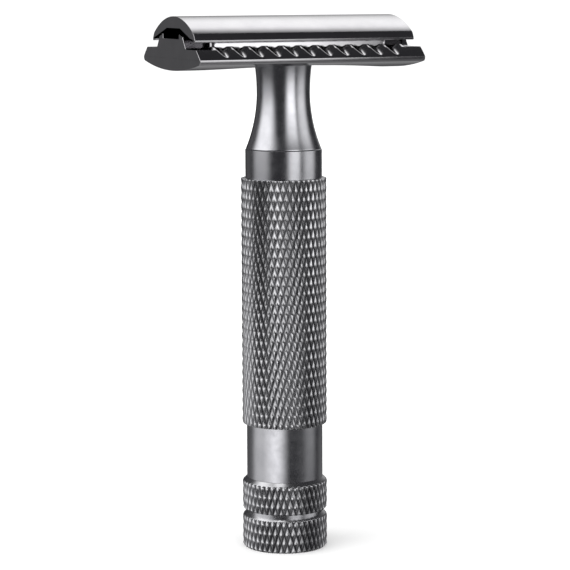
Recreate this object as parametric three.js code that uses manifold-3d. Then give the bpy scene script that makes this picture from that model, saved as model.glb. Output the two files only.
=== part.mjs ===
// A three-piece double-edge safety razor, standing on the end of its handle.
// Millimetres. +Z runs up the handle to the head, +X along the head, and the origin is the
// centre of the flat base.

import * as THREE from "three";
import { mergeVertices } from "three/addons/utils/BufferGeometryUtils.js";
import Module from "manifold-3d";

// ---------------------------------------------------------------- driving dimensions

// Handle, from the base up.
const GRIP_RADIUS = 8.03;          // crests of the knurled grip and rings
const CORE_RADIUS = 7.17;          // smooth band, collar and the foot of the neck
const BASE_CHAMFER = 0.35;
const KNOB_TOP = 6.7;              // bottom of the V groove between knob and ring
const RING_TOP = 13.35;
const BAND_TOP = 23.75;            // lower end of the knurled sleeve
const GRIP_TOP = 70.25;            // upper end of the knurled sleeve
const SEAM_Z = 75.6;               // joint between core tube and neck
const SEAM_CHAMFER = 0.15;
const NECK_TOP = 91.85;
const WAIST_Z = 86.2;
const WAIST_RADIUS = 4.96;
const NECK_ARC_BELOW = 27.7;       // radius of the flare from the waist down to the seam
const NECK_ARC_ABOVE = 36;         // radius of the flare from the waist up to the plate

// Handle, inside.
const CORE_BORE_RADIUS = 5.5;
const SPIGOT_RADIUS = 5.45;
const SPIGOT_BOTTOM = 61.6;
const SLIP_GAP = 0.05;             // radial gap between nested parts
const INSERT_RADIUS = 3.85;
const INSERT_BOTTOM = 79.2;
const INSERT_TOP = 91.4;
const THREAD_BORE_RADIUS = 2.6;
const PLUG_BOTTOM = 14.6;
const PLUG_TOP = 32;
const TIE_RADIUS = 3.0;
const TIE_BOTTOM = 2.6;
const TIE_TOP = 28;

// Head.
const CAP_LENGTH = 43.4;
const CAP_TOP = 100.22;
const DOME_RADIUS = 17.7;
const DOME_EDGE_Y = 10.25;         // half width where the dome breaks into a steeper edge
const LIP_OUTER_Y = 10.6;
const LIP_INNER_Y = 10.2;
const LIP_BOTTOM = 95.66;
const LIP_FACE_TOP = 96.2;
const LIP_TAPER = 0.04;            // how far the lip's outer face leans in at its foot
const CAP_GROOVE_HALF = 3.5;
const CAP_GROOVE_TOP = 98.03;
const RAMP_START_Y = 4.0;          // the clamping ramps run from here out to the lip
const RAMP_START_Z = 97.37;
const RAMP_SLOPE = 0.283;

const PLATE_LENGTH = 44.4;
const PLATE_HALF_WIDTH = 14.3;
const PLATE_LIP_TOP = 92.7;
const PLATE_LIP_HALF_WIDTH = 14.25;
const PLATE_LIP_BOTTOM = 92.2;
const PLATE_FOOT_HALF_WIDTH = 13.9;
const PLATE_FOOT_Z = 91.85;
const BELLY_Z = 90.42;             // lowest point of the arched underside
const BAR_TOP = 94.45;
const BAR_EDGE_Y = 12.35;
const BAR_BULGE_Y = 0.9;          // the bars' convex fronts pass inside this far from a corner
const BAR_BULGE_Z = 0.8;
const RIDGE_TOP = 95.0;            // raised ridge along each bar, which the scallops cut into teeth
const RIDGE_OUTER_Y = 11.25;
const RIDGE_INNER_Y = 10.6;
const RIDGE_LENGTH = 38;
const RELIEF_RADIUS = 11.2;        // flat round seat that the neck bears on
const RELIEF_Z = 91.92;
const RELIEF_RIM_Z = 91.3;
const RELIEF_OUTER_RADIUS = 20;
const PLATFORM_LENGTH = 35.2;
const PLATFORM_HALF_WIDTH = 8.0;
const PLATFORM_CORNER = 1.0;
const TAB_BASE_HALF_WIDTH = 7.3;
const TAB_TOP_HALF_WIDTH = 5.8;
const CLAMP_GAP = 0.3;             // room for a blade between the cap and the platform
const PLATFORM_GROOVE_HALF = 4.0;
const PLATFORM_GROOVE_Z = 96.2;
const TROUGH_FLOOR = 93.4;         // lather trough behind each scalloped bar
const TROUGH_INNER_Y = 7.5;
const TROUGH_OUTER_Y = 10.6;
const TROUGH_LENGTH = 34.6;
const TROUGH_CORNER = 1.0;

const SCALLOP_COUNT = 11;
const SCALLOP_PITCH = 3.353;
const SCALLOP_RADIUS = 1.7;
const SCALLOP_CUT_LENGTH = 12;
const SCALLOP_FLOOR_IN = new THREE.Vector2(11.0, 94.47);   // y and z along the scallop's floor
const SCALLOP_FLOOR_OUT = new THREE.Vector2(14.0, 93.1);

const STUD_RADIUS = 2.4;
const STUD_BOTTOM = 83.4;
const STUD_HOLE_RADIUS = 2.8;
const PIN_RADIUS = 1.25;
const PIN_HOLE_RADIUS = 1.5;
const PIN_X = 9.2;
const PIN_BOTTOM = 93.2;

const ROUND_STEPS = 48;            // facets round the handle
const FINE_STEPS = 24;             // facets round small pins and holes
const OVERCUT = 1;                 // how far cutting shapes reach past the faces they open

// ---------------------------------------------------------------- solids

const wasm = await Module();
wasm.setup();

function toSolid(geometry) {
  const bare = geometry.index ? geometry.toNonIndexed() : geometry.clone();
  bare.deleteAttribute("normal");
  bare.deleteAttribute("uv");
  const merged = mergeVertices(bare, 1e-4);
  return new wasm.Manifold(new wasm.Mesh({
    numProp: 3,
    vertProperties: new Float32Array(merged.attributes.position.array),
    triVerts: new Uint32Array(merged.index.array),
  }));
}

function toGeometry(solid) {
  const mesh = solid.getMesh();
  const geometry = new THREE.BufferGeometry();
  geometry.setAttribute("position", new THREE.BufferAttribute(mesh.vertProperties, 3));
  geometry.setIndex(new THREE.BufferAttribute(mesh.triVerts, 1));
  geometry.computeVertexNormals();
  return geometry;
}

// A body turned about Z from a list of [radius, z] points, starting and ending on the axis or
// closed on itself.
function turned(profile, steps = ROUND_STEPS) {
  const points = profile.map(([radius, z]) => new THREE.Vector2(radius, z));
  const geometry = new THREE.LatheGeometry(points, steps);
  geometry.rotateX(Math.PI / 2);
  return geometry;
}

function tube(innerRadius, outerRadius, bottom, top, steps = ROUND_STEPS) {
  return turned([
    [innerRadius, bottom], [outerRadius, bottom], [outerRadius, top],
    [innerRadius, top], [innerRadius, bottom],
  ], steps);
}

function rod(radius, bottom, top, steps = FINE_STEPS) {
  return turned([[0, bottom], [radius, bottom], [radius, top], [0, top]], steps);
}

// Extrudes a shape drawn in the Y-Z plane along X, centred on x = 0.
function alongX(shape, length, curveSegments = 8) {
  const geometry = new THREE.ExtrudeGeometry(shape, {
    depth: length, bevelEnabled: false, curveSegments,
  });
  geometry.translate(0, 0, -length / 2);
  const toYZ = new THREE.Matrix4().makeBasis(
    new THREE.Vector3(0, 1, 0), new THREE.Vector3(0, 0, 1), new THREE.Vector3(1, 0, 0));
  return geometry.applyMatrix4(toYZ);
}

// Extrudes a shape drawn in the X-Y plane between two heights.
function upward(shape, bottom, top, curveSegments = 6) {
  const geometry = new THREE.ExtrudeGeometry(shape, {
    depth: top - bottom, bevelEnabled: false, curveSegments,
  });
  return geometry.translate(0, 0, bottom);
}

function roundedRectangle(length, width, radius) {
  const x = length / 2;
  const y = width / 2;
  const shape = new THREE.Shape();
  shape.moveTo(-x + radius, -y);
  shape.lineTo(x - radius, -y);
  shape.absarc(x - radius, -y + radius, radius, -Math.PI / 2, 0, false);
  shape.absarc(x - radius, y - radius, radius, 0, Math.PI / 2, false);
  shape.absarc(-x + radius, y - radius, radius, Math.PI / 2, Math.PI, false);
  shape.absarc(-x + radius, -y + radius, radius, Math.PI, Math.PI * 1.5, false);
  return shape;
}

// ---------------------------------------------------------------- handle

// Rise of a circular arc at a distance from its crown.
function arcRise(radius, distance) {
  return radius - Math.sqrt(radius * radius - distance * distance);
}

function neckRadius(z) {
  const arc = z < WAIST_Z ? NECK_ARC_BELOW : NECK_ARC_ABOVE;
  return WAIST_RADIUS + arcRise(arc, z - WAIST_Z);
}

function neck() {
  const boreRadius = INSERT_RADIUS + SLIP_GAP;
  const profile = [
    [0, SPIGOT_BOTTOM], [SPIGOT_RADIUS, SPIGOT_BOTTOM], [SPIGOT_RADIUS, SEAM_Z],
    [CORE_RADIUS - SEAM_CHAMFER, SEAM_Z],
  ];
  const steps = 14;
  const flareBottom = SEAM_Z + SEAM_CHAMFER;
  for (let i = 0; i <= steps; i += 1) {
    const z = flareBottom + (NECK_TOP - flareBottom) * (i / steps);
    profile.push([neckRadius(z), z]);
  }
  profile.push([boreRadius, NECK_TOP], [boreRadius, INSERT_BOTTOM], [0, INSERT_BOTTOM]);
  return turned(profile);
}

function threadedInsert() {
  return tube(THREAD_BORE_RADIUS, INSERT_RADIUS, INSERT_BOTTOM, INSERT_TOP, FINE_STEPS);
}

function coreTube() {
  return turned([
    [CORE_BORE_RADIUS, RING_TOP], [CORE_RADIUS, RING_TOP],
    [CORE_RADIUS, SEAM_Z - SEAM_CHAMFER], [CORE_RADIUS - SEAM_CHAMFER, SEAM_Z],
    [CORE_BORE_RADIUS, SEAM_Z], [CORE_BORE_RADIUS, RING_TOP],
  ]);
}

function gripSleeve() {
  return tube(CORE_RADIUS + SLIP_GAP, GRIP_RADIUS, BAND_TOP, GRIP_TOP);
}

function corePlug() {
  return tube(TIE_RADIUS + SLIP_GAP, SPIGOT_RADIUS, PLUG_BOTTOM, PLUG_TOP, FINE_STEPS);
}

function tieStud() {
  return rod(TIE_RADIUS, TIE_BOTTOM, TIE_TOP);
}

function upperRing() {
  const chamfer = GRIP_RADIUS - CORE_RADIUS;
  const bore = TIE_RADIUS + SLIP_GAP;
  return turned([
    [bore, KNOB_TOP], [CORE_RADIUS, KNOB_TOP], [GRIP_RADIUS, KNOB_TOP + chamfer],
    [GRIP_RADIUS, RING_TOP - chamfer], [CORE_RADIUS, RING_TOP], [bore, RING_TOP],
    [bore, KNOB_TOP],
  ]);
}

function endKnob() {
  const chamfer = GRIP_RADIUS - CORE_RADIUS;
  const bore = TIE_RADIUS + SLIP_GAP;
  return turned([
    [0, 0], [GRIP_RADIUS - BASE_CHAMFER, 0], [GRIP_RADIUS, BASE_CHAMFER],
    [GRIP_RADIUS, KNOB_TOP - chamfer], [CORE_RADIUS, KNOB_TOP], [bore, KNOB_TOP],
    [bore, TIE_BOTTOM], [0, TIE_BOTTOM],
  ]);
}

// ---------------------------------------------------------------- cap and its stud and pins

function rampZ(y) {
  return RAMP_START_Z - RAMP_SLOPE * (Math.abs(y) - RAMP_START_Y);
}

function cap() {
  const centreZ = CAP_TOP - DOME_RADIUS;
  const edgeAngle = Math.acos(DOME_EDGE_Y / DOME_RADIUS);
  const edgeZ = centreZ + DOME_RADIUS * Math.sin(edgeAngle);
  const shape = new THREE.Shape();
  shape.moveTo(LIP_INNER_Y, LIP_BOTTOM);
  shape.lineTo(LIP_OUTER_Y - LIP_TAPER, LIP_BOTTOM);
  shape.lineTo(LIP_OUTER_Y, LIP_FACE_TOP);
  shape.lineTo(DOME_EDGE_Y, edgeZ);
  shape.absarc(0, centreZ, DOME_RADIUS, edgeAngle, Math.PI - edgeAngle, false);
  shape.lineTo(-LIP_OUTER_Y, LIP_FACE_TOP);
  shape.lineTo(-LIP_OUTER_Y + LIP_TAPER, LIP_BOTTOM);
  shape.lineTo(-LIP_INNER_Y, LIP_BOTTOM);
  shape.lineTo(-CAP_GROOVE_HALF, rampZ(CAP_GROOVE_HALF));
  shape.lineTo(-CAP_GROOVE_HALF, CAP_GROOVE_TOP);
  shape.lineTo(CAP_GROOVE_HALF, CAP_GROOVE_TOP);
  shape.lineTo(CAP_GROOVE_HALF, rampZ(CAP_GROOVE_HALF));
  return alongX(shape, CAP_LENGTH, 12);
}

function threadedStud() {
  return rod(STUD_RADIUS, STUD_BOTTOM, CAP_GROOVE_TOP);
}

function locatingPin(side) {
  return rod(PIN_RADIUS, PIN_BOTTOM, CAP_GROOVE_TOP).translate(side * PIN_X, 0, 0);
}

// ---------------------------------------------------------------- base plate

// Section of the two bars and the arched belly that joins them.
function barSection() {
  const sagitta = PLATE_FOOT_Z - BELLY_Z;
  const half = PLATE_FOOT_HALF_WIDTH;
  const bellyRadius = (half * half + sagitta * sagitta) / (2 * sagitta);
  const bellyAngle = Math.asin(half / bellyRadius);
  const shape = new THREE.Shape();
  shape.moveTo(BAR_EDGE_Y, BAR_TOP);
  shape.lineTo(-BAR_EDGE_Y, BAR_TOP);
  const bulgeY = PLATE_HALF_WIDTH - BAR_BULGE_Y;
  const bulgeZ = BAR_TOP - BAR_BULGE_Z;
  shape.quadraticCurveTo(-bulgeY, bulgeZ, -PLATE_HALF_WIDTH, PLATE_LIP_TOP);
  shape.lineTo(-PLATE_LIP_HALF_WIDTH, PLATE_LIP_BOTTOM);
  shape.lineTo(-half, PLATE_FOOT_Z);
  shape.absarc(0, BELLY_Z + bellyRadius, bellyRadius,
    -Math.PI / 2 - bellyAngle, -Math.PI / 2 + bellyAngle, false);
  shape.lineTo(PLATE_LIP_HALF_WIDTH, PLATE_LIP_BOTTOM);
  shape.lineTo(PLATE_HALF_WIDTH, PLATE_LIP_TOP);
  shape.quadraticCurveTo(bulgeY, bulgeZ, BAR_EDGE_Y, BAR_TOP);
  return shape;
}

// Section of the raised platform: a wall each side, ramps for a blade to lie on, and a shallow
// groove down the middle.
function platformSection(baseHalf, topHalf) {
  const foot = BAR_TOP - OVERCUT;
  const topZ = rampZ(topHalf) - CLAMP_GAP;
  const earZ = rampZ(PLATFORM_GROOVE_HALF) - CLAMP_GAP;
  return new THREE.Shape([
    new THREE.Vector2(-baseHalf, foot),
    new THREE.Vector2(baseHalf, foot),
    new THREE.Vector2(baseHalf, BAR_TOP),
    new THREE.Vector2(topHalf, topZ),
    new THREE.Vector2(PLATFORM_GROOVE_HALF, earZ),
    new THREE.Vector2(PLATFORM_GROOVE_HALF, PLATFORM_GROOVE_Z),
    new THREE.Vector2(-PLATFORM_GROOVE_HALF, PLATFORM_GROOVE_Z),
    new THREE.Vector2(-PLATFORM_GROOVE_HALF, earZ),
    new THREE.Vector2(-topHalf, topZ),
    new THREE.Vector2(-baseHalf, BAR_TOP),
  ]);
}

// The sloping ridge on top of one bar, running down into the bar below its top face.
function ridge(side) {
  const foot = BAR_TOP - OVERCUT;
  const section = new THREE.Shape([
    new THREE.Vector2(RIDGE_INNER_Y, foot),
    new THREE.Vector2(BAR_EDGE_Y, foot),
    new THREE.Vector2(BAR_EDGE_Y, BAR_TOP),
    new THREE.Vector2(RIDGE_OUTER_Y, RIDGE_TOP),
    new THREE.Vector2(RIDGE_INNER_Y, RIDGE_TOP),
  ]);
  const body = alongX(section, RIDGE_LENGTH);
  if (side < 0) {
    body.rotateZ(Math.PI);
  }
  return toSolid(body);
}

// A round cutter lying along one scallop's floor, sloping down and outward.
function scallopCutter(x, side) {
  const along = new THREE.Vector2().subVectors(SCALLOP_FLOOR_OUT, SCALLOP_FLOOR_IN);
  const slope = Math.atan2(along.y, along.x);
  const cutter = new THREE.CylinderGeometry(
    SCALLOP_RADIUS, SCALLOP_RADIUS, SCALLOP_CUT_LENGTH, FINE_STEPS);
  cutter.rotateX(slope);
  const middle = new THREE.Vector2().lerpVectors(SCALLOP_FLOOR_IN, SCALLOP_FLOOR_OUT, 0.5);
  const lift = SCALLOP_RADIUS / Math.cos(slope);
  cutter.translate(x, middle.x, middle.y + lift);
  if (side < 0) {
    cutter.rotateZ(Math.PI);
  }
  return toSolid(cutter);
}

function basePlate() {
  let plate = toSolid(alongX(barSection(), PLATE_LENGTH, 10));

  for (const side of [-1, 1]) {
    const width = TROUGH_OUTER_Y - TROUGH_INNER_Y;
    const trough = upward(
      roundedRectangle(TROUGH_LENGTH, width, TROUGH_CORNER), TROUGH_FLOOR, BAR_TOP + OVERCUT);
    trough.translate(0, side * (TROUGH_INNER_Y + width / 2), 0);
    plate = plate.subtract(toSolid(trough)).add(ridge(side));
    for (let i = 0; i < SCALLOP_COUNT; i += 1) {
      const x = (i - (SCALLOP_COUNT - 1) / 2) * SCALLOP_PITCH;
      plate = plate.subtract(scallopCutter(x, side));
    }
  }

  const tabs = toSolid(alongX(
    platformSection(TAB_BASE_HALF_WIDTH, TAB_TOP_HALF_WIDTH), PLATE_LENGTH));
  const wide = toSolid(alongX(
    platformSection(PLATFORM_HALF_WIDTH, PLATFORM_HALF_WIDTH), PLATE_LENGTH));
  const outline = toSolid(upward(
    roundedRectangle(PLATFORM_LENGTH, 2 * PLATFORM_HALF_WIDTH, PLATFORM_CORNER),
    TROUGH_FLOOR - OVERCUT / 2, CAP_TOP));
  plate = plate.add(tabs).add(wide.intersect(outline));

  const relief = toSolid(turned([
    [0, BELLY_Z - OVERCUT], [RELIEF_OUTER_RADIUS, BELLY_Z - OVERCUT],
    [RELIEF_OUTER_RADIUS, BELLY_Z],
    [RELIEF_RADIUS, RELIEF_RIM_Z], [RELIEF_RADIUS, RELIEF_Z], [0, RELIEF_Z],
  ]));
  plate = plate.subtract(relief);

  const holeBottom = BELLY_Z - OVERCUT;
  plate = plate.subtract(toSolid(rod(STUD_HOLE_RADIUS, holeBottom, CAP_TOP)));
  for (const side of [-1, 1]) {
    const hole = rod(PIN_HOLE_RADIUS, holeBottom, CAP_TOP).translate(side * PIN_X, 0, 0);
    plate = plate.subtract(toSolid(hole));
  }
  return toGeometry(plate);
}

// ---------------------------------------------------------------- materials and assembly

function metal(color, roughness) {
  return new THREE.MeshStandardMaterial({ color, roughness, metalness: 1 });
}

const POLISHED = () => metal(0x6e6e74, 0.16);
const SATIN = () => metal(0x6a6b6f, 0.34);
const STEEL = () => metal(0xb9bcc0, 0.25);
const BRASS = () => metal(0xb08d4c, 0.35);

const PIECES = [
  ["end_knob", endKnob(), SATIN()],
  ["upper_ring", upperRing(), SATIN()],
  ["tie_stud", tieStud(), STEEL()],
  ["core_plug", corePlug(), STEEL()],
  ["core_tube", coreTube(), SATIN()],
  ["grip_sleeve", gripSleeve(), SATIN()],
  ["neck", neck(), SATIN()],
  ["threaded_insert", threadedInsert(), BRASS()],
  ["base_plate", basePlate(), POLISHED()],
  ["cap", cap(), POLISHED()],
  ["threaded_stud", threadedStud(), STEEL()],
  ["locating_pin_left", locatingPin(-1), STEEL()],
  ["locating_pin_right", locatingPin(1), STEEL()],
];

const razor = new THREE.Group();
for (const [name, geometry, material] of PIECES) {
  const mesh = new THREE.Mesh(geometry, material);
  mesh.name = name;
  razor.add(mesh);
}

export default razor;
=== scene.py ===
"""A double-edge safety razor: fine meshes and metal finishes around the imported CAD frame."""

import math

import bmesh
import bpy
import numpy as np
from mathutils import Matrix, Vector


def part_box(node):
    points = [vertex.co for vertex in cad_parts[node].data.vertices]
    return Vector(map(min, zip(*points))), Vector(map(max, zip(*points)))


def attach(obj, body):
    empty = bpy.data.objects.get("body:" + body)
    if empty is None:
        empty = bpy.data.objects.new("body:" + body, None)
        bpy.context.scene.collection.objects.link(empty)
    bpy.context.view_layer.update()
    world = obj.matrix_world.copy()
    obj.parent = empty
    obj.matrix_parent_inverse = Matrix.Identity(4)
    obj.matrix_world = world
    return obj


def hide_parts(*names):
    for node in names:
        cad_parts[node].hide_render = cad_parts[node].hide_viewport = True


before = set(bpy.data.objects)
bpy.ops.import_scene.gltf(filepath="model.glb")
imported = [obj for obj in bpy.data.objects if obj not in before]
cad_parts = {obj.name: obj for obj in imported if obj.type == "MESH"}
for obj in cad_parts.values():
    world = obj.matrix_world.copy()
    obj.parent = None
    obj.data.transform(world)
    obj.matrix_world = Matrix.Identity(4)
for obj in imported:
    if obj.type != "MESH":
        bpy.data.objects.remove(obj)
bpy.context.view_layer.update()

# ------------------------------------------------------------------ sizes, in millimetres
# Places come from the frame; what follows is the detail that the frame's plain solids leave out.

MM = 0.001


def limits(node):
    """Lowest and highest corner of a CAD node in millimetres."""
    low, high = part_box(node)
    return low / MM, high / MM


KNOB_LOW, KNOB_HIGH = limits("end_knob")
RING_LOW, RING_HIGH = limits("upper_ring")
GRIP_LOW, GRIP_HIGH = limits("grip_sleeve")
CORE_LOW, CORE_HIGH = limits("core_tube")
NECK_LOW, NECK_HIGH = limits("neck")
CAP_LOW, CAP_HIGH = limits("cap")
PLATE_HIGH = limits("base_plate")[1]
STUD_TOP = limits("threaded_stud")[1].z
PIN_LOW, PIN_HIGH = limits("locating_pin_right")
TIE_LOW, TIE_HIGH = limits("tie_stud")
INSERT_LOW, INSERT_HIGH = limits("threaded_insert")

GRIP_RADIUS = GRIP_HIGH.x         # crests of the knurl
CORE_RADIUS = CORE_HIGH.x
SLIP_GAP = 0.05                   # radial gap between nested parts
CORE_BORE_RADIUS = 5.5
SPIGOT_RADIUS = 5.45              # the neck's stem inside the core tube

# Diamond knurl.
KNURL_COUNT = 44                  # diamonds round the handle
KNURL_HEIGHT = 3.5                # one diamond, tip to tip
KNURL_DEPTH = 0.27
KNURL_STEPS = 12                  # mesh steps across one diamond
KNURL_CREST = 0.1                 # share of each diamond that its flat crest takes up
KNURL_SHOULDER = 0.45             # how softly the crest rolls over into its flanks
SLEEVE_CHAMFER = 0.12             # at both ends of the grip sleeve
RING_CHAMFER = GRIP_RADIUS - CORE_RADIUS
KNOB_BASE_CHAMFER = 0.35
TIE_BORE = TIE_HIGH.x + SLIP_GAP

# Neck.
SEAM_Z = CORE_HIGH.z
SEAM_CHAMFER = 0.15
WAIST_Z = 86.2
WAIST_RADIUS = 4.96
NECK_ARC_BELOW = 27.7             # radius of the flare from the waist down to the seam
NECK_ARC_ABOVE = 36.0

# Cap.
DOME_RADIUS = 17.7
DOME_EDGE_Y = 9.85                # half width where the dome breaks into a steeper edge
LIP_Y = CAP_HIGH.y
LIP_TOP_Z = 96.06
EDGE_BEND = (10.18, 96.98)        # y and z that the steeper edge bends towards
LIP_TAPER = 0.04                  # how far the lip's outer face leans in at its foot
LIP_INNER_Y = 10.2
CAP_GROOVE_HALF = 3.5
CAP_GROOVE_TOP = STUD_TOP
RAMP_START_Y = 4.0                # the clamping ramps run from here out to the lip
RAMP_START_Z = 97.37
RAMP_SLOPE = 0.283
CLAMP_GAP = 0.3                   # room for a blade between the cap and the platform
CAP_END_ROUND = 0.07

# Base plate.
BAR_TOP = 94.45
BAR_EDGE_Y = 12.35
BAR_BULGE_Y = 0.9                 # the bars' convex fronts pass inside this far from a corner
BAR_BULGE_Z = 0.8
RIDGE_TOP = 95.0                  # the ridge along each bar, which the scallops cut into teeth
RIDGE_OUTER_Y = 11.25
RIDGE_INNER_Y = 10.6
RIDGE_HALF_LENGTH = 19.0
RIDGE_BACK_SLOPE = 1.6            # fall of the ridge's inner side
RIDGE_RUN_OUT = 0.5               # length over which the ridge's ends slope down
RIDGE_OUTER_BLEND = 0.12          # how softly the ridge's top rolls over on each side
RIDGE_INNER_BLEND = 0.2
PLATE_LIP_TOP = 92.7
PLATE_LIP_Y = 14.25
PLATE_LIP_BOTTOM = 92.2
PLATE_FOOT_Y = 13.9
PLATE_FOOT_Z = 91.85
BELLY_Z = 90.42                   # lowest point of the arched underside
PLATFORM_GROOVE_HALF = 4.0
PLATFORM_GROOVE_Z = 96.2
TAB_TOP_Y = 5.8
TAB_BASE_Y = 7.3
PLATFORM_Y = 8.0
PLATFORM_DRAFT = 0.16             # how far the platform's sides lean in at the top
PLATFORM_SINK = 0.012             # keeps the rails' tops just under the body's own ramps
PLATFORM_HALF_LENGTH = 17.6
PLATFORM_CORNER = 1.0
TROUGH_Y = 9.25                   # middle of the lather trough behind each bar
TROUGH_HALF_WIDTH = 1.35
TROUGH_DEPTH = 1.1
TROUGH_HALF_LENGTH = 17.3
TROUGH_BLEND = 0.1                # how softly its rim rolls over
SCALLOP_COUNT = 11
SCALLOP_PITCH = 3.353
SCALLOP_STEPS = 24                # mesh steps across one scallop
SCALLOP_IN = (11.0, 94.43)        # y and z along a scallop's floor
SCALLOP_OUT = (14.0, 93.05)
SCALLOP_SLOPE = 0.72              # rise of a scallop's flanks
SCALLOP_BOTTOM = 0.75             # half width of its rounded bottom
SCALLOP_BLEND = 0.06              # how softly the flanks roll over into the crests
PLATE_END_ROUND = 0.09
RELIEF_RADIUS = 11.2              # flat round seat that the neck bears on
RELIEF_Z = 91.92
RELIEF_RIM_Z = 91.3
RELIEF_OUTER_RADIUS = 20.0
STUD_HOLE_RADIUS = 2.8
PIN_HOLE_RADIUS = 1.5

ROUND_STEPS = 192                 # facets round the handle
FINE_STEPS = 64                   # facets round pins and holes


# ------------------------------------------------------------------ mesh helpers

def make_object(name, verts, faces):
    """A smooth mesh object from points in millimetres."""
    mesh = bpy.data.meshes.new(name)
    mesh.from_pydata([(x * MM, y * MM, z * MM) for x, y, z in verts], [], faces)
    mesh.validate()
    mesh.polygons.foreach_set("use_smooth", [True] * len(mesh.polygons))
    obj = bpy.data.objects.new(name, mesh)
    bpy.context.scene.collection.objects.link(obj)
    return obj


def weld(obj, distance=1e-7):
    """Merges coincident points and points every face outward."""
    bm = bmesh.new()
    bm.from_mesh(obj.data)
    bmesh.ops.remove_doubles(bm, verts=bm.verts, dist=distance)
    bmesh.ops.dissolve_degenerate(bm, edges=bm.edges, dist=distance)
    bmesh.ops.recalc_face_normals(bm, faces=bm.faces)
    bm.to_mesh(obj.data)
    bm.free()
    return obj


def face_outward(obj):
    bm = bmesh.new()
    bm.from_mesh(obj.data)
    bmesh.ops.recalc_face_normals(bm, faces=bm.faces)
    bm.to_mesh(obj.data)
    bm.free()
    return obj


def weighted_normals(obj):
    """Keeps large flats flat, so that only the small rounds between them turn."""
    modifier = obj.modifiers.new("weighted_normals", "WEIGHTED_NORMAL")
    modifier.mode = "FACE_AREA"
    modifier.keep_sharp = True
    return obj


def sharp_corners(obj, degrees=32.0):
    """Marks the edges that turn by more than an angle as sharp."""
    bm = bmesh.new()
    bm.from_mesh(obj.data)
    for edge in bm.edges:
        edge.smooth = edge.calc_face_angle(0.0) < math.radians(degrees)
    bm.to_mesh(obj.data)
    bm.free()
    return obj


def flat_ends(obj):
    """Shades the faces square to X flat, so that the small rounds beside them stay crisp."""
    for face in obj.data.polygons:
        face.use_smooth = abs(face.normal.x) < 0.999
    return obj


def boolean(obj, other, operation):
    """Joins other to obj or cuts it away, and removes other."""
    obj.modifiers.clear()
    other.modifiers.clear()
    modifier = obj.modifiers.new("cut", "BOOLEAN")
    modifier.operation = operation
    modifier.solver = "EXACT"
    modifier.object = other
    graph = bpy.context.evaluated_depsgraph_get()
    result = bpy.data.meshes.new_from_object(obj.evaluated_get(graph))
    obj.modifiers.remove(modifier)
    old = obj.data
    obj.data = result
    bpy.data.meshes.remove(old)
    bpy.data.objects.remove(other)
    return obj


def filleted(points, closed=True, steps=5):
    """A polyline of (u, v, radius) points with each corner rounded by its radius."""
    count = len(points)
    result = []
    for i, (u, v, radius) in enumerate(points):
        corner = np.array((u, v), float)
        ends = not closed and i in (0, count - 1)
        if radius <= 0 or ends:
            result.append(tuple(corner))
            continue
        before = np.array(points[i - 1][:2], float) - corner
        after = np.array(points[(i + 1) % count][:2], float) - corner
        len_before, len_after = np.linalg.norm(before), np.linalg.norm(after)
        before, after = before / len_before, after / len_after
        half_angle = math.acos(max(-1.0, min(1.0, float(before @ after)))) / 2
        reach = min(radius / math.tan(half_angle), 0.49 * len_before, 0.49 * len_after)
        true_radius = reach * math.tan(half_angle)
        bisector = before + after
        bisector = bisector / np.linalg.norm(bisector)
        centre = corner + bisector * (true_radius / math.sin(half_angle))
        start, end = corner + before * reach - centre, corner + after * reach - centre
        turn = math.atan2(start[0] * end[1] - start[1] * end[0], float(start @ end))
        for k in range(steps + 1):
            angle = turn * k / steps
            c, s = math.cos(angle), math.sin(angle)
            result.append((centre[0] + c * start[0] - s * start[1],
                           centre[1] + s * start[0] + c * start[1]))
    return result


def turned(name, profile, steps=ROUND_STEPS):
    """A solid turned about Z from (radius, z) points, which end on the axis or close."""
    on_axis = profile[0][0] < 1e-6
    verts, faces = [], []
    for radius, z in profile:
        for k in range(steps):
            angle = 2 * math.pi * k / steps
            verts.append((radius * math.cos(angle), radius * math.sin(angle), z))
    rows = len(profile)
    last = rows - 1 if on_axis else rows
    for i in range(last):
        a, b = i * steps, ((i + 1) % rows) * steps
        for k in range(steps):
            n = (k + 1) % steps
            faces.append((a + k, a + n, b + n, b + k))
    return weighted_normals(weld(make_object(name, verts, faces)))


def bent_curve(start, bend, end, steps):
    """Inner points of a curve between two points that a third point bends towards it."""
    points = []
    for k in range(1, steps):
        t = k / steps
        weights = ((1 - t) ** 2, 2 * t * (1 - t), t * t)
        y, z = (sum(w * p[i] for w, p in zip(weights, (start, bend, end))) for i in (0, 1))
        points.append((y, z, 0))
    return points


def arc_rise(radius, distance):
    """How far a circular arc falls away from its crown at a distance along the tangent."""
    return radius - math.sqrt(radius * radius - distance * distance)


def outward_normals(loop):
    """Unit normals of a closed counter-clockwise loop of (y, z) points."""
    points = np.array(loop, float)
    ahead = np.roll(points, -1, axis=0) - points
    ahead /= np.linalg.norm(ahead, axis=1)[:, None]
    along = ahead + np.roll(ahead, 1, axis=0)
    along /= np.linalg.norm(along, axis=1)[:, None]
    return np.stack([along[:, 1], -along[:, 0]], axis=1)


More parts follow.
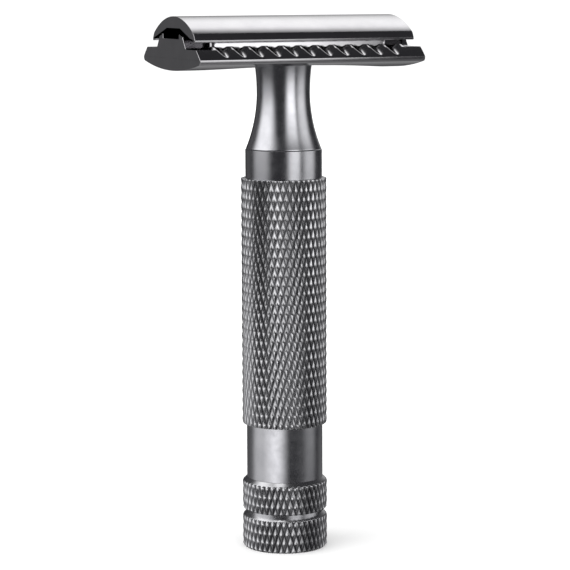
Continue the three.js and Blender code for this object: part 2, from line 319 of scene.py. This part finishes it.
def swept(name, loop, half_length, end_round, stations, shape=None):
    """A bar along X with a closed (y, z) section, rounded over at both ends.

    shape(x, points) may move the section's points at each station."""
    points = np.array(loop, float)
    normals = outward_normals(loop)
    round_steps = 5
    ends = []
    for k in range(round_steps + 1):
        angle = (math.pi / 2) * k / round_steps
        ends.append((half_length - end_round * (1 - math.sin(angle)),
                     end_round * (1 - math.cos(angle))))
    inner = [x for x in stations if abs(x) < half_length - end_round - 1e-4]
    sections = [(-x, inset) for x, inset in reversed(ends)]
    sections += [(x, 0.0) for x in inner]
    sections += ends
    verts, faces = [], []
    count = len(points)
    for x, inset in sections:
        section = points if shape is None else shape(x, points.copy())
        section = section - normals * inset
        verts += [(x, y, z) for y, z in section]
    for i in range(len(sections) - 1):
        a, b = i * count, (i + 1) * count
        for k in range(count):
            n = (k + 1) % count
            faces.append((a + k, a + n, b + n, b + k))
    faces.append(tuple(range(count)))
    faces.append(tuple(reversed(range(len(verts) - count, len(verts)))))
    obj = make_object(name, verts, faces)
    return weighted_normals(flat_ends(face_outward(obj)))


def install(obj, body, node, material):
    """Puts a finished piece on its body in place of its CAD node."""
    obj.data.materials.clear()
    obj.data.materials.append(material)
    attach(obj, body)
    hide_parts(node)
    return obj


# ------------------------------------------------------------------ materials

class Nodes:
    """Small helper for building a node material."""

    def __init__(self, name):
        self.material = bpy.data.materials.new(name)
        self.material.use_nodes = True
        self.tree = self.material.node_tree
        self.tree.nodes.clear()
        output = self.tree.nodes.new("ShaderNodeOutputMaterial")
        self.shader = self.tree.nodes.new("ShaderNodeBsdfPrincipled")
        self.link(self.shader.outputs["BSDF"], output.inputs["Surface"])
        self.position = self.tree.nodes.new("ShaderNodeTexCoord").outputs["Object"]

    def link(self, source, target):
        self.tree.links.new(source, target)

    def noise(self, scale, detail=3.0, roughness=0.5, vector=None):
        node = self.tree.nodes.new("ShaderNodeTexNoise")
        node.inputs["Scale"].default_value = scale
        node.inputs["Detail"].default_value = detail
        node.inputs["Roughness"].default_value = roughness
        self.link(vector or self.position, node.inputs["Vector"])
        return node.outputs["Fac"]

    def stretched(self, scale):
        """The position, scaled by its own amount along each axis."""
        node = self.tree.nodes.new("ShaderNodeVectorMath")
        node.operation = "MULTIPLY"
        node.inputs[1].default_value = scale
        self.link(self.position, node.inputs[0])
        return node.outputs["Vector"]

    def ramp(self, value, low, high, from_low=0.0, from_high=1.0):
        """Maps a value range to another, clamped."""
        node = self.tree.nodes.new("ShaderNodeMapRange")
        node.inputs["From Min"].default_value = from_low
        node.inputs["From Max"].default_value = from_high
        node.inputs["To Min"].default_value = low
        node.inputs["To Max"].default_value = high
        self.link(value, node.inputs["Value"])
        return node.outputs["Result"]

    def mix(self, factor, first, second):
        node = self.tree.nodes.new("ShaderNodeMix")
        node.data_type = "RGBA"
        self.link(factor, node.inputs["Factor"])
        node.inputs["A"].default_value = (*first, 1.0)
        node.inputs["B"].default_value = (*second, 1.0)
        return node.outputs["Result"]

    def bump(self, height, distance):
        node = self.tree.nodes.new("ShaderNodeBump")
        node.inputs["Strength"].default_value = 1.0
        node.inputs["Distance"].default_value = distance
        self.link(height, node.inputs["Height"])
        self.link(node.outputs["Normal"], self.shader.inputs["Normal"])

    def attribute(self, name):
        node = self.tree.nodes.new("ShaderNodeAttribute")
        node.attribute_name = name
        return node.outputs["Fac"]


TONE_SCALE = 260.0                # noise cycles per metre
GLOSS_SCALE = 700.0
GRAIN_SCALE = 9000.0
GRAIN_DEPTH = 4e-7                # metres
RING_MARK_SCALE = 300.0           # along a lathe's rings, where they hardly change


def metal(name, dark, light, rough_low, rough_high):
    """A metal with slow variations of tone and gloss."""
    n = Nodes(name)
    n.shader.inputs["Metallic"].default_value = 1.0
    tone = n.ramp(n.noise(TONE_SCALE, 4.0), 0.0, 1.0, 0.35, 0.65)
    n.link(n.mix(tone, dark, light), n.shader.inputs["Base Color"])
    gloss = n.ramp(n.noise(GLOSS_SCALE, 5.0, 0.6), rough_low, rough_high, 0.3, 0.7)
    n.link(gloss, n.shader.inputs["Roughness"])
    return n


def grained(n, scale=GRAIN_SCALE, depth=GRAIN_DEPTH):
    """Adds a fine even grain to a material's surface."""
    n.bump(n.noise(scale, 2.0, 0.6), depth)
    return n.material


def lathed(n, scale, depth):
    """Adds the fine rings that a lathe leaves round the Z axis."""
    rings = n.stretched((RING_MARK_SCALE, RING_MARK_SCALE, scale))
    n.bump(n.noise(1.0, 2.0, 0.5, rings), depth)
    return n.material


def satin_gunmetal():
    return grained(metal("gunmetal_satin", (0.30, 0.30, 0.315), (0.34, 0.34, 0.355), 0.2, 0.27))


def polished_gunmetal():
    n = metal("gunmetal_polished", (0.33, 0.325, 0.335), (0.36, 0.355, 0.365), 0.11, 0.15)
    return grained(n, 4000.0, 1e-7)


def knurled_gunmetal_painted_shade():
    """Satin gunmetal with painted shade: its colour darkens to near black down in the cuts and is
    lighter on the crests, and it is duller in the cuts.
    """
    n = Nodes("gunmetal_knurled")
    n.shader.inputs["Metallic"].default_value = 1.0
    height = n.attribute("crest")
    # painted shade: the colour runs from near black in the cuts up to gunmetal on the crests
    tone = n.mix(n.ramp(height, 0.0, 1.0, 0.0, 0.7), (0.04, 0.04, 0.045), (0.41, 0.41, 0.42))
    n.link(tone, n.shader.inputs["Base Color"])
    n.link(n.ramp(height, 0.32, 0.2), n.shader.inputs["Roughness"])
    return grained(n)


def bright_steel():
    return lathed(metal("stainless_turned", (0.52, 0.52, 0.53), (0.6, 0.6, 0.61), 0.16, 0.26),
                  30000.0, 4e-7)


def turned_brass():
    return lathed(metal("brass_turned", (0.5, 0.36, 0.15), (0.6, 0.44, 0.2), 0.22, 0.32),
                  25000.0, 5e-7)


# ------------------------------------------------------------------ handle

def knurl_height(turn, z):
    """Height of the knurl from 0 in the cuts to 1 on the crests.

    turn counts diamonds round the handle; two crossing sets of V cuts leave pyramids."""
    rise = z / KNURL_HEIGHT
    first = abs((turn + rise) % 1.0 - 0.5) * 2
    second = abs((turn - rise) % 1.0 - 0.5) * 2
    depth = np.maximum(first, second)
    return soft_min((1.0 - depth) / (1.0 - KNURL_CREST), 1.0, KNURL_SHOULDER)


def knurl_rows(low, high, bottom_width, top_width):
    """Heights of a knurled solid's mesh rows: evenly spaced, with more on its chamfers."""
    chamfer_steps = 8
    least_gap = 0.02
    row_step = KNURL_HEIGHT / KNURL_STEPS
    rows = {low, high}
    rows.update(np.arange(math.ceil(low / row_step), math.floor(high / row_step) + 1) * row_step)
    for k in range(1, chamfer_steps + 1):
        rows.add(low + bottom_width * k / chamfer_steps)
        rows.add(high - top_width * k / chamfer_steps)
    rows = sorted(rows)
    return [z for i, z in enumerate(rows) if i == 0 or z - rows[i - 1] > least_gap]


def knurled(name, low, high, chamfers, inner_profile):
    """A knurled solid between two heights, with the cuts running out through its chamfers.

    chamfers holds its bottom and top widths. inner_profile lists the (radius, z) points that
    close the solid from its top chamfer's inner end down to its bottom chamfer's inner end.
    The crest attribute tells the material how high on the knurl each point lies, which sets the
    shade that the material paints into the cuts."""
    # crest values given to the smooth chamfers and the hidden inner faces, which set their
    # painted tone
    smooth_crest, hidden_crest = 0.75, 0.5
    most_out_of_step = 0.25           # in mesh steps
    bottom_width, top_width = chamfers
    rows = knurl_rows(low, high, bottom_width, top_width)
    columns = KNURL_COUNT * KNURL_STEPS
    turns = np.arange(columns) / KNURL_STEPS
    angles = 2 * math.pi * turns / KNURL_COUNT
    verts, faces, crest = [], [], []
    for z in rows:
        height = knurl_height(turns, z)
        limit = min(GRIP_RADIUS, GRIP_RADIUS - bottom_width + (z - low),
                    GRIP_RADIUS - top_width + (high - z))
        radius = np.minimum(GRIP_RADIUS - KNURL_DEPTH * (1.0 - height), limit)
        smooth = limit < GRIP_RADIUS - KNURL_DEPTH
        for r, a, h in zip(radius, angles, height):
            verts.append((r * math.cos(a), r * math.sin(a), z))
            crest.append(smooth_crest if smooth else h)
    for i in range(len(rows) - 1):
        # Rows in step with the knurl are split along its falling cuts, others the other way.
        middle = (rows[i] + rows[i + 1]) / 2 / KNURL_HEIGHT * KNURL_STEPS
        out_of_step = abs(middle % 1.0 - 0.5)
        for k in range(columns):
            a, b = i * columns + k, i * columns + (k + 1) % columns
            c, d = b + columns, a + columns
            if out_of_step < most_out_of_step:
                faces += [(a, b, d), (b, c, d)]
            else:
                faces += [(a, b, c), (a, c, d)]
    rings = [(len(rows) - 1) * columns]
    for radius, z in inner_profile:
        rings.append(len(verts))
        verts += [(radius * math.cos(a), radius * math.sin(a), z) for a in angles]
        crest += [hidden_crest] * columns
    rings.append(0)
    for a, b in zip(rings, rings[1:]):
        for k in range(columns):
            n = (k + 1) % columns
            faces.append((a + k, a + n, b + n, b + k))
    obj = make_object(name, verts, faces)
    layer = obj.data.attributes.new("crest", "FLOAT", "POINT")
    layer.data.foreach_set("value", np.array(crest, np.float32))
    return sharp_corners(weld(obj), 45.0)


def grip_sleeve():
    low, high = GRIP_LOW.z, GRIP_HIGH.z
    bore = CORE_RADIUS + SLIP_GAP
    edge = 0.02
    return knurled("grip_knurl", low, high, (SLEEVE_CHAMFER, SLEEVE_CHAMFER),
                   [(bore + edge, high), (bore, high - edge), (bore, low + edge),
                    (bore + edge, low)])


def upper_ring():
    low, high = RING_LOW.z, RING_HIGH.z
    return knurled("ring_knurl", low, high, (RING_CHAMFER, RING_CHAMFER),
                   [(TIE_BORE, high), (TIE_BORE, low)])


def end_knob():
    low, high = KNOB_LOW.z, KNOB_HIGH.z
    return knurled("knob_knurl", low, high, (KNOB_BASE_CHAMFER, RING_CHAMFER),
                   [(TIE_BORE, high), (TIE_BORE, TIE_LOW.z), (0.0, TIE_LOW.z), (0.0, low)])


def neck_radius(z):
    arc = NECK_ARC_BELOW if z < WAIST_Z else NECK_ARC_ABOVE
    return WAIST_RADIUS + arc_rise(arc, abs(z - WAIST_Z))


def neck():
    low, high = NECK_LOW.z, NECK_HIGH.z
    bore = INSERT_HIGH.x + SLIP_GAP
    start = SEAM_Z + SEAM_CHAMFER
    steps = 60
    points = [(0.0, low, 0), (SPIGOT_RADIUS, low, 0.3), (SPIGOT_RADIUS, SEAM_Z, 0.1),
              (CORE_RADIUS - SEAM_CHAMFER, SEAM_Z, 0.04), (neck_radius(start), start, 0.05)]
    for k in range(1, steps):
        z = start + (high - start) * k / steps
        points.append((neck_radius(z), z, 0))
    points += [(neck_radius(high), high, 0.12), (bore, high, 0.1), (bore, INSERT_LOW.z, 0.1),
               (0.0, INSERT_LOW.z, 0)]
    return turned("neck_waist", filleted(points, closed=False))


def core_tube():
    low, high = CORE_LOW.z, CORE_HIGH.z
    points = [(CORE_BORE_RADIUS, low, 0.05), (CORE_RADIUS, low, 0.05),
              (CORE_RADIUS, high - SEAM_CHAMFER, 0.05), (CORE_RADIUS - SEAM_CHAMFER, high, 0.04),
              (CORE_BORE_RADIUS, high, 0.05)]
    return turned("core_sleeve", filleted(points))


# ------------------------------------------------------------------ head

def ramp_z(y):
    return RAMP_START_Z - RAMP_SLOPE * (abs(y) - RAMP_START_Y)


def cap():
    top = CAP_HIGH.z
    centre = top - DOME_RADIUS
    edge_angle = math.acos(DOME_EDGE_Y / DOME_RADIUS)
    edge_z = centre + DOME_RADIUS * math.sin(edge_angle)
    foot = CAP_LOW.z
    right = [(LIP_INNER_Y, foot, 0.04), (LIP_Y - LIP_TAPER, foot, 0.12), (LIP_Y, LIP_TOP_Z, 0.06)]
    right += bent_curve((LIP_Y, LIP_TOP_Z), EDGE_BEND, (DOME_EDGE_Y, edge_z), 8)
    dome = []
    dome_steps = 96
    for k in range(dome_steps + 1):
        angle = edge_angle + (math.pi - 2 * edge_angle) * k / dome_steps
        dome.append((DOME_RADIUS * math.cos(angle), centre + DOME_RADIUS * math.sin(angle), 0))
    left = [(-y, z, r) for y, z, r in reversed(right)]
    under = [(-CAP_GROOVE_HALF, ramp_z(CAP_GROOVE_HALF), 0.15),
             (-CAP_GROOVE_HALF, CAP_GROOVE_TOP, 0.35),
             (CAP_GROOVE_HALF, CAP_GROOVE_TOP, 0.35),
             (CAP_GROOVE_HALF, ramp_z(CAP_GROOVE_HALF), 0.15)]
    loop = filleted(right + dome + left + under, steps=4)
    half = CAP_HIGH.x
    return swept("cap_dome", loop, half, CAP_END_ROUND, np.linspace(-half, half, 12))


def plate_section():
    """The base plate's section, counter-clockwise, with its scalloped side finely divided."""
    half = PLATE_FOOT_Y
    sagitta = PLATE_FOOT_Z - BELLY_Z
    belly_radius = (half * half + sagitta * sagitta) / (2 * sagitta)
    right = []
    belly_steps = 30
    for k in range(belly_steps):
        y = half * k / belly_steps
        right.append((y, BELLY_Z + arc_rise(belly_radius, y), 0))
    right += [(half, PLATE_FOOT_Z, 0.1), (PLATE_LIP_Y, PLATE_LIP_BOTTOM, 0.15),
              (PLATE_HIGH.y, PLATE_LIP_TOP, 0.07)]
    bulge = (PLATE_HIGH.y - BAR_BULGE_Y, BAR_TOP - BAR_BULGE_Z)
    right += bent_curve((PLATE_HIGH.y, PLATE_LIP_TOP), bulge, (BAR_EDGE_Y, BAR_TOP), 26)
    flat_steps = 64
    tab_fillet = 0.6
    flat_end = TAB_BASE_Y + tab_fillet + 0.1
    for k in range(flat_steps + 1):
        y = BAR_EDGE_Y + (flat_end - BAR_EDGE_Y) * k / flat_steps
        right.append((y, BAR_TOP, 0))
    right += [(TAB_BASE_Y, BAR_TOP, tab_fillet), (TAB_TOP_Y, ramp_z(TAB_TOP_Y) - CLAMP_GAP, 0.15),
              (PLATFORM_GROOVE_HALF, ramp_z(PLATFORM_GROOVE_HALF) - CLAMP_GAP, 0.12),
              (PLATFORM_GROOVE_HALF, PLATFORM_GROOVE_Z, 0.15)]
    left = [(-y, z, r) for y, z, r in reversed(right[1:])]
    return filleted(right + left)


def soft_min(a, b, width):
    """The lower of two heights, blended over a width where they meet."""
    gap = np.clip(0.5 + 0.5 * (b - a) / width, 0.0, 1.0)
    return b * (1 - gap) + a * gap - width * gap * (1 - gap)


def bar_height(x, y):
    """Height of a bar's top with its ridge, before the scallops are cut."""
    run_out = (RIDGE_HALF_LENGTH - abs(x)) / RIDGE_RUN_OUT
    share = min(max(run_out + 0.5, 0.0), 1.0)
    share = share * share * (3 - 2 * share)
    front = BAR_TOP + (BAR_EDGE_Y - y) * (RIDGE_TOP - BAR_TOP) / (BAR_EDGE_Y - RIDGE_OUTER_Y)
    back = RIDGE_TOP + (y - RIDGE_INNER_Y) * RIDGE_BACK_SLOPE
    crest = soft_min(soft_min(front, RIDGE_TOP, RIDGE_OUTER_BLEND), back, RIDGE_INNER_BLEND)
    return BAR_TOP + np.maximum(crest - BAR_TOP, 0.0) * share


def carve_bar(x, points):
    """Raises the ridge on one section of the plate, and cuts its scallops and trough."""
    beside_tab, above_lip = 0.2, 0.05
    y, z = np.abs(points[:, 0]), points[:, 1]
    on_bar = (y > TAB_BASE_Y + beside_tab) & (z > PLATE_LIP_TOP + above_lip)
    last = (SCALLOP_COUNT - 1) / 2
    centre = np.clip(np.round(x / SCALLOP_PITCH), -last, last) * SCALLOP_PITCH
    across = x - centre
    slope = (SCALLOP_OUT[1] - SCALLOP_IN[1]) / (SCALLOP_OUT[0] - SCALLOP_IN[0])
    top = np.where(y <= BAR_EDGE_Y, bar_height(x, y), z)
    floor = SCALLOP_IN[1] + slope * (y - SCALLOP_IN[0])
    rise = SCALLOP_SLOPE * (math.hypot(across, SCALLOP_BOTTOM) - SCALLOP_BOTTOM)
    carved = soft_min(top, floor + rise, SCALLOP_BLEND)
    beyond = max(abs(x) - (TROUGH_HALF_LENGTH - TROUGH_HALF_WIDTH), 0.0)
    inside = TROUGH_HALF_WIDTH - np.hypot(beyond, y - TROUGH_Y)
    share = np.clip(inside / TROUGH_HALF_WIDTH, 0.0, 1.0)
    rim = BAR_TOP + TROUGH_BLEND
    trough = rim - (TROUGH_DEPTH + TROUGH_BLEND) * np.sqrt(1 - (1 - share) ** 2)
    carved = np.where(inside > 0, soft_min(carved, trough, TROUGH_BLEND), carved)
    points[:, 1] = np.where(on_bar, carved, z)
    return points


def platform_rail(side):
    """The wide middle of the platform on one side, with rounded upright ends."""
    root = 0.5                        # how deep the rail reaches into the body below
    foot = BAR_TOP - TROUGH_DEPTH - root
    shoulder = TAB_TOP_Y + 0.15
    inner = TAB_TOP_Y - 0.6
    outer_top = ramp_z(PLATFORM_Y) - CLAMP_GAP - PLATFORM_SINK
    shoulder_top = ramp_z(shoulder) - CLAMP_GAP - PLATFORM_SINK
    section = filleted([
        (inner, foot, 0), (PLATFORM_Y, foot, 0), (PLATFORM_Y - PLATFORM_DRAFT, outer_top, 0.12),
        (shoulder, shoulder_top, 0), (inner, shoulder_top - 0.35, 0)])
    stations = set(np.linspace(-PLATFORM_HALF_LENGTH, PLATFORM_HALF_LENGTH, 24))
    corner_steps = 10
    for k in range(corner_steps + 1):
        angle = (math.pi / 2) * k / corner_steps
        x = PLATFORM_HALF_LENGTH - PLATFORM_CORNER * (1 - math.cos(angle))
        stations.update((x, -x))

    def shape(x, points):
        beyond = max(abs(x) - (PLATFORM_HALF_LENGTH - PLATFORM_CORNER), 0.0)
        pulled = arc_rise(PLATFORM_CORNER, min(beyond, PLATFORM_CORNER))
        outer = points[:, 0] > TAB_TOP_Y + 0.5
        points[:, 0] -= np.where(outer, pulled, 0.0)
        points[:, 0] *= side
        return points if side > 0 else points[::-1]

    return swept("rail", section, PLATFORM_HALF_LENGTH, 0.0, sorted(stations), shape)


def round_cutter(radius, x=0.0):
    """A cylinder for cutting an upright hole right through the base plate."""
    clearance = 2.0
    low, high = BELLY_Z - clearance, CAP_HIGH.z
    tool = turned("cutter", [(0.0, low), (radius, low), (radius, high), (0.0, high)], FINE_STEPS)
    tool.data.transform(Matrix.Translation((x * MM, 0, 0)))
    tool.modifiers.clear()
    return tool


def relief_cutter():
    """The round seat under the plate, with its slope out to the belly."""
    clearance = 1.0
    below = BELLY_Z - clearance
    steps = 160
    return turned("relief", filleted([
        (0.0, below, 0), (RELIEF_OUTER_RADIUS, below, 0),
        (RELIEF_OUTER_RADIUS, BELLY_Z - 0.01, 0), (RELIEF_RADIUS, RELIEF_RIM_Z, 0.06),
        (RELIEF_RADIUS, RELIEF_Z, 0.1), (0.0, RELIEF_Z, 0)], closed=False), steps)


def base_plate():
    half = PLATE_HIGH.x
    step = SCALLOP_PITCH / SCALLOP_STEPS
    count = int((half - PLATE_END_ROUND) / step)
    stations = [k * step for k in range(-count, count + 1)]
    plate = swept("plate_body", plate_section(), half, PLATE_END_ROUND, stations, carve_bar)
    for side in (-1, 1):
        boolean(plate, platform_rail(side), "UNION")
    boolean(plate, relief_cutter(), "DIFFERENCE")
    boolean(plate, round_cutter(STUD_HOLE_RADIUS), "DIFFERENCE")
    for side in (-1, 1):
        pin_x = side * (PIN_LOW.x + PIN_HIGH.x) / 2
        boolean(plate, round_cutter(PIN_HOLE_RADIUS, pin_x), "DIFFERENCE")
    return weighted_normals(flat_ends(sharp_corners(plate)))


def locating_pin(name, node):
    low, high = limits(node)
    centre = (low.x + high.x) / 2
    radius = (high.x - low.x) / 2
    points = [(0.0, low.z, 0), (radius, low.z, 0.35), (radius, high.z, 0), (0.0, high.z, 0)]
    pin = turned(name, filleted(points, closed=False), FINE_STEPS)
    pin.data.transform(Matrix.Translation((centre * MM, 0, 0)))
    return pin


# ------------------------------------------------------------------ assembly

SATIN = satin_gunmetal()
POLISHED = polished_gunmetal()
KNURLED = knurled_gunmetal_painted_shade()
STEEL = bright_steel()
BRASS = turned_brass()

install(end_knob(), "handle", "end_knob", KNURLED)
install(upper_ring(), "handle", "upper_ring", KNURLED)
install(grip_sleeve(), "handle", "grip_sleeve", KNURLED)
install(core_tube(), "handle", "core_tube", SATIN)
install(neck(), "handle", "neck", SATIN)
install(base_plate(), "plate", "base_plate", POLISHED)
install(cap(), "cap", "cap", POLISHED)
install(locating_pin("pin_left", "locating_pin_left"), "cap", "locating_pin_left", STEEL)
install(locating_pin("pin_right", "locating_pin_right"), "cap", "locating_pin_right", STEEL)
for node, material in (("tie_stud", STEEL), ("core_plug", STEEL), ("threaded_insert", BRASS),
                       ("threaded_stud", STEEL)):
    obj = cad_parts[node]
    obj.data.materials.clear()
    obj.data.materials.append(material)

# ------------------------------------------------------------------ camera

CAMERA_AZIMUTH = 23.75            # degrees round to the left of straight in front
CAMERA_DISTANCE = 400.2           # level distance from the handle's axis
CAMERA_HEIGHT = 106.6
CAMERA_PITCH = 8.07               # degrees below level
CAMERA_TURN = 0.024
CAMERA_ROLL = 0.223
SENSOR_WIDTH = 36.0
CAMERA_LENS = 135.79


def make_camera():
    data = bpy.data.cameras.new("camera")
    data.lens = CAMERA_LENS
    data.sensor_width = SENSOR_WIDTH
    data.clip_start = 0.01
    data.clip_end = 20.0
    camera = bpy.data.objects.new("camera", data)
    bpy.context.scene.collection.objects.link(camera)
    azimuth = math.radians(CAMERA_AZIMUTH)
    heading = math.radians(CAMERA_AZIMUTH + CAMERA_TURN)
    pitch = math.radians(CAMERA_PITCH)
    roll = math.radians(CAMERA_ROLL)
    forward = Vector((math.sin(heading) * math.cos(pitch), math.cos(heading) * math.cos(pitch),
                      -math.sin(pitch)))
    level = Vector((math.cos(heading), -math.sin(heading), 0.0))
    upright = level.cross(forward)
    right = math.cos(roll) * level - math.sin(roll) * upright
    up = math.sin(roll) * level + math.cos(roll) * upright
    place = Vector((-math.sin(azimuth) * CAMERA_DISTANCE, -math.cos(azimuth) * CAMERA_DISTANCE,
                    CAMERA_HEIGHT)) * MM
    rows = [[right[i], up[i], -forward[i], place[i]] for i in range(3)]
    camera.matrix_world = Matrix([*rows, [0, 0, 0, 1]])
    bpy.context.scene.camera = camera


# ------------------------------------------------------------------ studio

FAR = 1.6                         # metres from the razor to the lights round the room
NEAR = 0.25                       # to the right box, whose reflection shifts along the handle
CLOSE = 0.12                      # to the two low boxes, level with the floor
STUDIO_CENTRE = Vector((0.0, 0.0, 0.055))
ROOM_TONE = (0.055, 0.055, 0.06)  # the dim room that the metal reflects between the lights
PAGE_TONE = (1.12, 1.12, 1.12)    # the even white that surrounds and lights the floor


def softbox(name, azimuth, elevation, width, height, radiance, fades=(0.35, 0.35, 0.35, 0.35),
            distance=FAR):
    """A soft light as seen from the razor, placed and sized by angles in degrees.

    azimuth is measured from the camera's side, positive to the right. fades gives the share
    of its width or height over which its left, right, bottom and top edges dim away."""
    data = bpy.data.lights.new(name, "AREA")
    data.shape = "RECTANGLE"
    data.size = 2 * distance * math.tan(math.radians(width) / 2)
    data.size_y = 2 * distance * math.tan(math.radians(height) / 2)
    data.energy = radiance * math.pi * data.size * data.size_y
    data.use_nodes = True
    tree = data.node_tree
    place = tree.nodes.new("ShaderNodeNewGeometry")
    split = tree.nodes.new("ShaderNodeSeparateXYZ")
    tree.links.new(place.outputs["Parametric"], split.inputs["Vector"])
    level = None
    for axis, start, fade in zip("XXYY", (0.0, 1.0, 0.0, 1.0), fades):
        edge = tree.nodes.new("ShaderNodeMapRange")
        edge.interpolation_type = "SMOOTHSTEP"
        edge.inputs["From Min"].default_value = start
        edge.inputs["From Max"].default_value = fade if start == 0.0 else 1.0 - fade
        tree.links.new(split.outputs[axis], edge.inputs["Value"])
        if level is None:
            level = edge.outputs["Result"]
            continue
        product = tree.nodes.new("ShaderNodeMath")
        product.operation = "MULTIPLY"
        tree.links.new(level, product.inputs[0])
        tree.links.new(edge.outputs["Result"], product.inputs[1])
        level = product.outputs["Value"]
    tree.links.new(level, tree.nodes["Emission"].inputs["Strength"])
    light = bpy.data.objects.new(name, data)
    bpy.context.scene.collection.objects.link(light)
    light.visible_camera = False
    heading = math.radians(azimuth - CAMERA_AZIMUTH)
    rise = math.radians(elevation)
    away = Vector((math.sin(heading) * math.cos(rise), -math.cos(heading) * math.cos(rise),
                   math.sin(rise)))
    light.location = STUDIO_CENTRE + away * distance
    light.rotation_mode = "QUATERNION"
    light.rotation_quaternion = away.to_track_quat("Z", "Y")
    return light


def make_floor():
    """A white floor, darker near the razor as if its soft shadow lay there."""
    half = 4.0
    mesh = bpy.data.meshes.new("floor")
    mesh.from_pydata([(-half, -half, 0), (half, -half, 0), (half, half, 0), (-half, half, 0)],
                     [], [(0, 1, 2, 3)])
    floor = bpy.data.objects.new("floor", mesh)
    bpy.context.scene.collection.objects.link(floor)
    n = Nodes("floor_white")
    distance = n.tree.nodes.new("ShaderNodeVectorMath")
    distance.operation = "LENGTH"
    n.link(n.position, distance.inputs[0])
    near, far = 0.06, 0.22
    tone = n.ramp(distance.outputs["Value"], 0.66, 0.96, near, far)
    n.link(tone, n.shader.inputs["Base Color"])
    n.shader.inputs["Roughness"].default_value = 0.9
    n.shader.inputs["Specular IOR Level"].default_value = 0.0
    floor.data.materials.append(n.material)
    floor.visible_glossy = False
    floor.visible_shadow = False
    return floor


def make_world():
    """Even white round the floor, and a dim room in what the metal reflects."""
    world = bpy.data.worlds.new("studio")
    bpy.context.scene.world = world
    world.use_nodes = True
    tree = world.node_tree
    tree.nodes.clear()
    output = tree.nodes.new("ShaderNodeOutputWorld")
    mix = tree.nodes.new("ShaderNodeMixShader")
    path = tree.nodes.new("ShaderNodeLightPath")
    room = tree.nodes.new("ShaderNodeBackground")
    room.inputs["Color"].default_value = (*ROOM_TONE, 1)
    page = tree.nodes.new("ShaderNodeBackground")
    page.inputs["Color"].default_value = (*PAGE_TONE, 1)
    tree.links.new(path.outputs["Is Glossy Ray"], mix.inputs["Fac"])
    tree.links.new(page.outputs["Background"], mix.inputs[1])
    tree.links.new(room.outputs["Background"], mix.inputs[2])
    tree.links.new(mix.outputs["Shader"], output.inputs["Surface"])


make_camera()
make_world()
make_floor()
softbox("left_box", -72, 31, 85, 88, 2.75)
softbox("right_box", 29.5, 18.5, 49, 59, 3.2, (0.41, 0.18, 0.3, 0.5), NEAR)
softbox("side_box", 83, 11, 64, 60, 2.0, (0.4, 0.4, 0.4, 0.43))
softbox("low_left_box", -27, -29, 76, 16, 3.2, (0.5, 0.5, 0.25, 0.25), CLOSE)
softbox("low_side_box", -80, -27, 70, 26, 1.1, (0.4, 0.4, 0.25, 0.25), CLOSE)
softbox("back_box", 171, 34, 66, 60, 2.25, (0.45, 0.45, 0.71, 0.26))
softbox("back_under_box", 165, -26, 100, 36, 0.3)
softbox("back_low_box", 166, 4, 44, 26, 0.45)
softbox("top_box", -35, 74, 26, 18, 3.0)
softbox("left_back_box", -132, 0, 44, 60, 0.1)
softbox("floor_left_box", -88, -27, 100, 28, 0.4, (0.3, 0.3, 0.3, 0.4))
softbox("floor_right_box", 78, -27, 80, 28, 0.3, (0.3, 0.3, 0.3, 0.4))
softbox("under_box", 0, -88, 70, 70, 0.5)

bpy.context.scene.view_settings.view_transform = "Standard"
